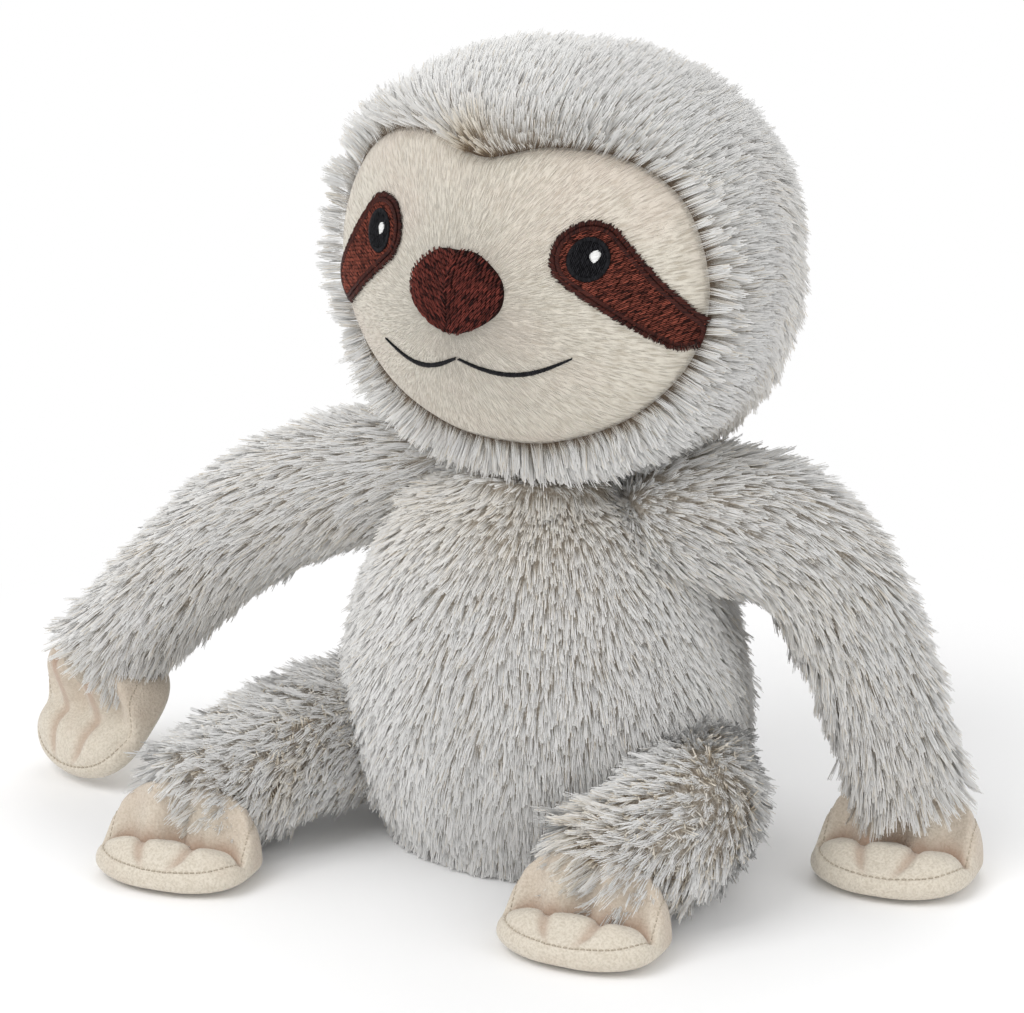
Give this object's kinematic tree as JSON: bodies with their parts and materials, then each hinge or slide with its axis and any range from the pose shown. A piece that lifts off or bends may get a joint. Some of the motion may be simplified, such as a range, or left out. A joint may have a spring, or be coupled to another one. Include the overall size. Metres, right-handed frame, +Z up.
{
  "type": "plush sloth",
  "caption": "Seated plush sloth with a long pile cover, smooth face, hands and feet, and a head and limbs that bend at their seams.",
  "frame": {"origin": "middle of the flat seat panel, on the floor", "axes": "+Z up, the toy faces -Y, its own left hand is on +X"},
  "size_m": [0.3123, 0.1874, 0.249],
  "materials": {
    "plush": "long pile plush, brown at the root and grey white at the tip",
    "velour": "short pile velour",
    "fibre": "loose polyester fibre",
    "calico": "plain woven cotton",
    "rust_felt": "brushed felt",
    "umber_thread": "satin stitch",
    "maroon_thread": "satin stitch",
    "black_thread": "satin stitch",
    "white_thread": "satin stitch"
  },
  "bodies": {
    "torso": {"torso_front_panel": "plush", "torso_back_panel": "plush", "seat_panel": "plush", "torso_stuffing": "fibre", "grain_bag": "calico"},
    "neck": {"neck_stuffing": "fibre"},
    "head": {"head_right_panel": "plush", "head_left_panel": "plush", "face_panel": "velour", "head_stuffing": "fibre", "eye_patch_right": "rust_felt", "eye_border_right": "umber_thread", "pupil_right": "black_thread", "eye_glint_right": "white_thread", "mouth_stitch_right": "black_thread", "eye_patch_left": "rust_felt", "eye_border_left": "umber_thread", "pupil_left": "black_thread", "eye_glint_left": "white_thread", "mouth_stitch_left": "black_thread", "nose": "maroon_thread"},
    "arm_right": {"arm_sleeve_right": "plush", "arm_stuffing_right": "fibre"},
    "hand_right": {"hand_upper_right": "velour", "hand_palm_right": "velour", "hand_stuffing_right": "fibre", "finger_thread_right_inner": "velour", "finger_thread_right_outer": "velour"},
    "arm_left": {"arm_sleeve_left": "plush", "arm_stuffing_left": "fibre"},
    "hand_left": {"hand_upper_left": "velour", "hand_palm_left": "velour", "hand_stuffing_left": "fibre", "finger_thread_left_inner": "velour", "finger_thread_left_outer": "velour"},
    "leg_right": {"leg_sleeve_right": "plush", "leg_stuffing_right": "fibre"},
    "foot_right": {"foot_upper_right": "velour", "foot_sole_right": "velour", "foot_stuffing_right": "fibre", "toe_thread_right_inner": "velour", "toe_thread_right_outer": "velour"},
    "leg_left": {"leg_sleeve_left": "plush", "leg_stuffing_left": "fibre"},
    "foot_left": {"foot_upper_left": "velour", "foot_sole_left": "velour", "foot_stuffing_left": "fibre", "toe_thread_left_inner": "velour", "toe_thread_left_outer": "velour"}
  },
  "joints": [
    {"name": "neck_turn", "type": "hinge", "parent": "torso", "child": "neck", "pos_m": [0, 0.006, 0.112], "axis": [0, 0, 1], "range_deg": [-30, 30], "stiffness_Nm_per_rad": 0.2},
    {"name": "neck_nod", "type": "hinge", "parent": "neck", "child": "head", "pos_m": [0, 0.006, 0.112], "axis": [1, 0, 0], "range_deg": [-12, 15], "stiffness_Nm_per_rad": 0.4},
    {"name": "shoulder_right", "type": "hinge", "parent": "torso", "child": "arm_right", "pos_m": [-0.046, 0.008, 0.11], "axis": [-1, 0, 0], "range_deg": [-30, 75], "stiffness_Nm_per_rad": 0.05},
    {"name": "wrist_right", "type": "hinge", "parent": "arm_right", "child": "hand_right", "pos_m": [-0.149, -0.043, 0.037], "axis": [-0.9703, 0.2419, 0], "range_deg": [-15, 20], "stiffness_Nm_per_rad": 0.02},
    {"name": "shoulder_left", "type": "hinge", "parent": "torso", "child": "arm_left", "pos_m": [0.046, 0.008, 0.11], "axis": [-1, 0, 0], "range_deg": [-30, 75], "stiffness_Nm_per_rad": 0.05},
    {"name": "wrist_left", "type": "hinge", "parent": "arm_left", "child": "hand_left", "pos_m": [0.11, 0.037, 0.026], "axis": [-0.9781, -0.2079, 0], "range_deg": [-15, 20], "stiffness_Nm_per_rad": 0.02},
    {"name": "hip_right", "type": "hinge", "parent": "torso", "child": "leg_right", "pos_m": [-0.05, -0.002, 0.029], "axis": [-1, 0, 0], "range_deg": [-15, 30], "stiffness_Nm_per_rad": 0.06},
    {"name": "ankle_right", "type": "hinge", "parent": "leg_right", "child": "foot_right", "pos_m": [-0.075, -0.081, 0.021], "axis": [-0.9781, -0.2079, 0], "range_deg": [-10, 20], "stiffness_Nm_per_rad": 0.02},
    {"name": "hip_left", "type": "hinge", "parent": "torso", "child": "leg_left", "pos_m": [0.05, -0.002, 0.029], "axis": [-1, 0, 0], "range_deg": [-15, 30], "stiffness_Nm_per_rad": 0.06},
    {"name": "ankle_left", "type": "hinge", "parent": "leg_left", "child": "foot_left", "pos_m": [0.06, -0.058, 0.021], "axis": [-0.9903, -0.1392, 0], "range_deg": [-10, 20], "stiffness_Nm_per_rad": 0.02}
  ]
}
